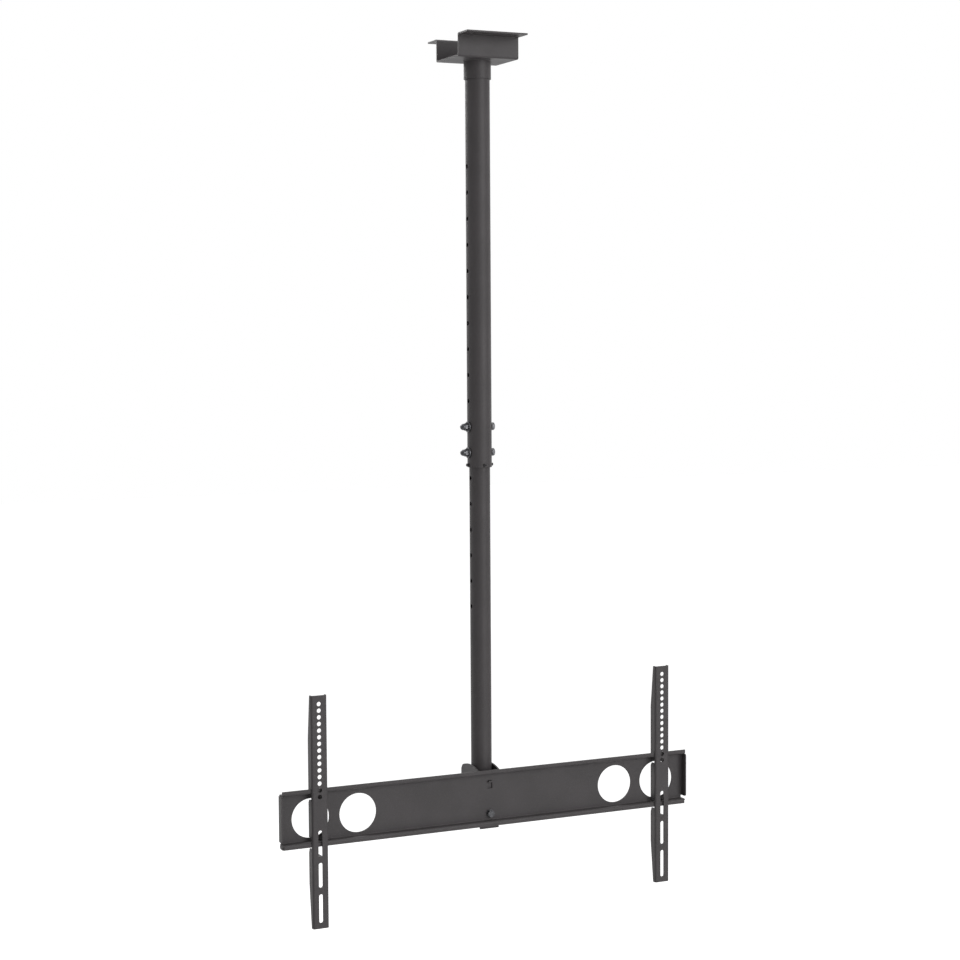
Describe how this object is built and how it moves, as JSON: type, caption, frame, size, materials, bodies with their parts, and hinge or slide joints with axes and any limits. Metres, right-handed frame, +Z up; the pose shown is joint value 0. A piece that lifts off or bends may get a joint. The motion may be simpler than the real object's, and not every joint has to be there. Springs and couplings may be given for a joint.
{
  "type": "television ceiling mount",
  "caption": "Telescoping pole under a folded ceiling bracket, carrying a tilting crossbar with sliding slotted arms that hold a television.",
  "frame": {"origin": "on the pole's axis in the plane of the bracket's ceiling faces", "axes": "+Z up to the ceiling along the pole, +X along the crossbar, -Y towards the television"},
  "size_m": [0.87, 0.182, 1.675],
  "materials": {
    "powder_coat": "satin charcoal powder coat, fine grain",
    "dark_zinc": "dark zinc plated",
    "black_oxide": "black oxide",
    "nylon": "off-white nylon"
  },
  "bodies": {
    "ceiling": {"ceiling_bracket": "powder_coat", "pole_socket": "powder_coat"},
    "upper_tube": {"upper_pole": "powder_coat", "pole_ring": "powder_coat", "grub_screws": "black_oxide", "height_bolts": "dark_zinc", "height_bolt_washers": "dark_zinc", "wide_washers": "dark_zinc", "dome_nuts": "dark_zinc"},
    "lower_tube": {"lower_pole": "powder_coat", "tilt_bolts": "dark_zinc", "tilt_washers": "dark_zinc", "tilt_lock_nuts": "dark_zinc", "tilt_nut_inserts": "nylon"},
    "crossbar_frame": {"tilt_bracket": "powder_coat", "crossbar": "powder_coat", "crossbar_bolt": "dark_zinc", "crossbar_washers": "dark_zinc", "crossbar_lock_nut": "dark_zinc", "crossbar_nut_insert": "nylon"},
    "left_arm": {"left_arm": "powder_coat"},
    "right_arm": {"right_arm": "powder_coat"}
  },
  "joints": [
    {"name": "pole_swivel", "type": "hinge", "parent": "ceiling", "child": "upper_tube", "pos_m": [0, 0, -0.044], "axis": [0, 0, 1], "continuous": true},
    {"name": "pole_height", "type": "slide", "parent": "upper_tube", "child": "lower_tube", "axis": [0, 0, 1], "range_m": [0, 0.3]},
    {"name": "bar_tilt", "type": "hinge", "parent": "lower_tube", "child": "crossbar_frame", "pos_m": [0, 0, -1.44], "axis": [1, 0, 0], "range_deg": [-5, 15]},
    {"name": "left_arm_slide", "type": "slide", "parent": "crossbar_frame", "child": "left_arm", "axis": [1, 0, 0], "range_m": [-0.055, 0.31]},
    {"name": "right_arm_slide", "type": "slide", "parent": "crossbar_frame", "child": "right_arm", "axis": [1, 0, 0], "range_m": [-0.326, 0.039]}
  ]
}
